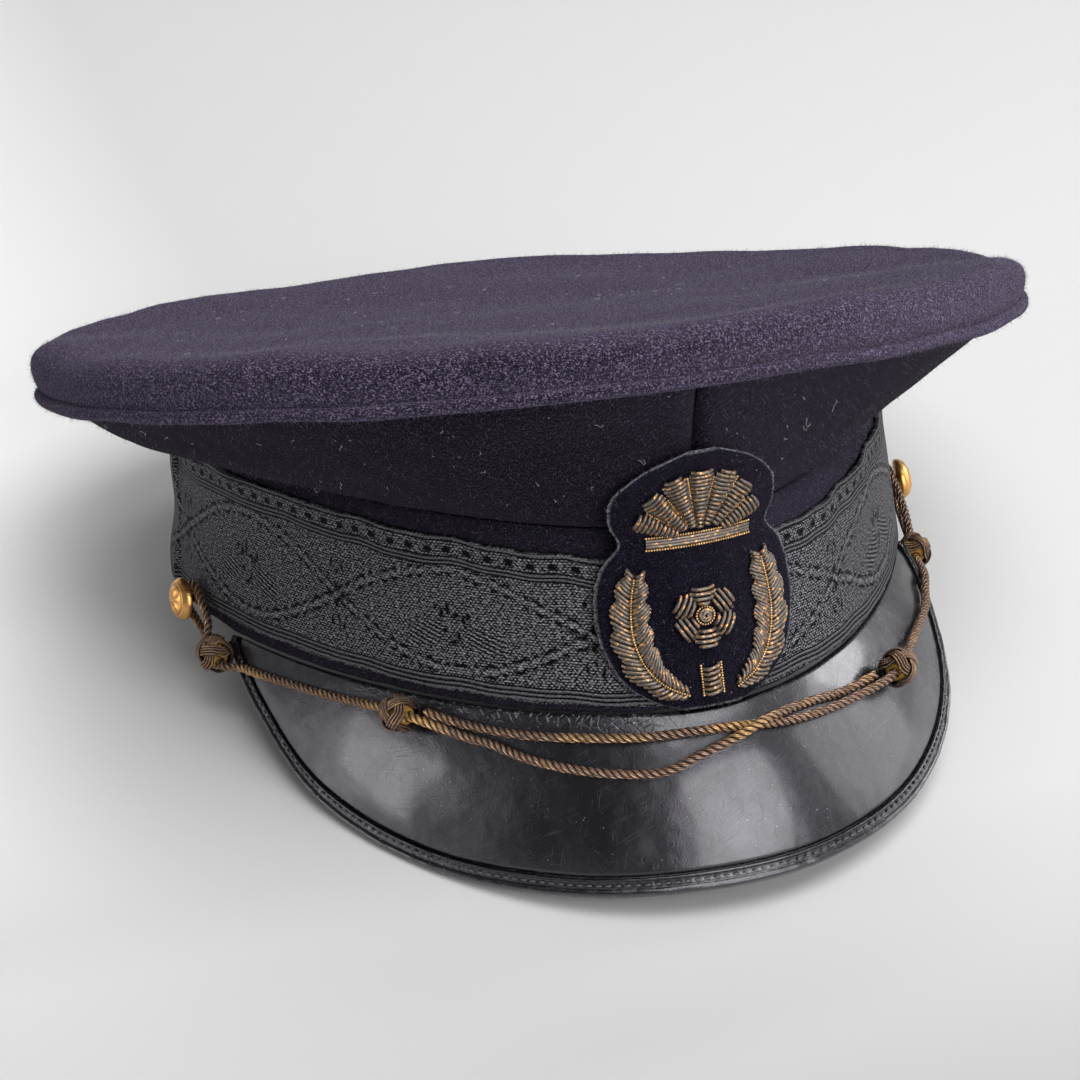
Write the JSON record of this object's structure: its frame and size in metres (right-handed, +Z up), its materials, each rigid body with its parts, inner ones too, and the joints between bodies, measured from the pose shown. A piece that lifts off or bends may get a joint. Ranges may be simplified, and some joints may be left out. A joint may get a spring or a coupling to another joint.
{
  "type": "conductor cap",
  "caption": "Soft peaked uniform cap with a wide crown, woven braid band, polished leather peak, bullion badge and knotted metal cord.",
  "frame": {"origin": "middle of the box's bottom, on the surface that the cap rests on", "axes": "+X to the wearer's left, -Y to the front of the peak, +Z up"},
  "size_m": [0.2366, 0.2438, 0.1223],
  "materials": {
    "cloth": "dark navy wool cloth",
    "braid": "charcoal mohair braid",
    "leather": "polished black leather",
    "cord": "twisted metal thread",
    "bullion": "tarnished coiled wire",
    "gilt": "gilt"
  },
  "bodies": {
    "root": {"crown_top": "cloth", "crown_piping": "cloth", "quarter_right": "cloth", "quarter_left": "cloth", "head_band": "cloth", "badge_patch": "cloth", "mohair_braid": "braid", "peak": "leather", "peak_rolled_edge": "leather", "badge_spray_right": "bullion", "badge_spray_left": "bullion", "badge_fan": "bullion", "badge_bar": "bullion", "badge_rosette": "bullion", "badge_tie": "bullion", "button_right_side": "gilt", "button_left_side": "gilt", "cord_from_right": "cord", "cord_from_left": "cord", "knot_right_outer": "cord", "knot_right_inner": "cord", "knot_left_outer": "cord", "knot_left_inner": "cord"}
  },
  "joints": []
}
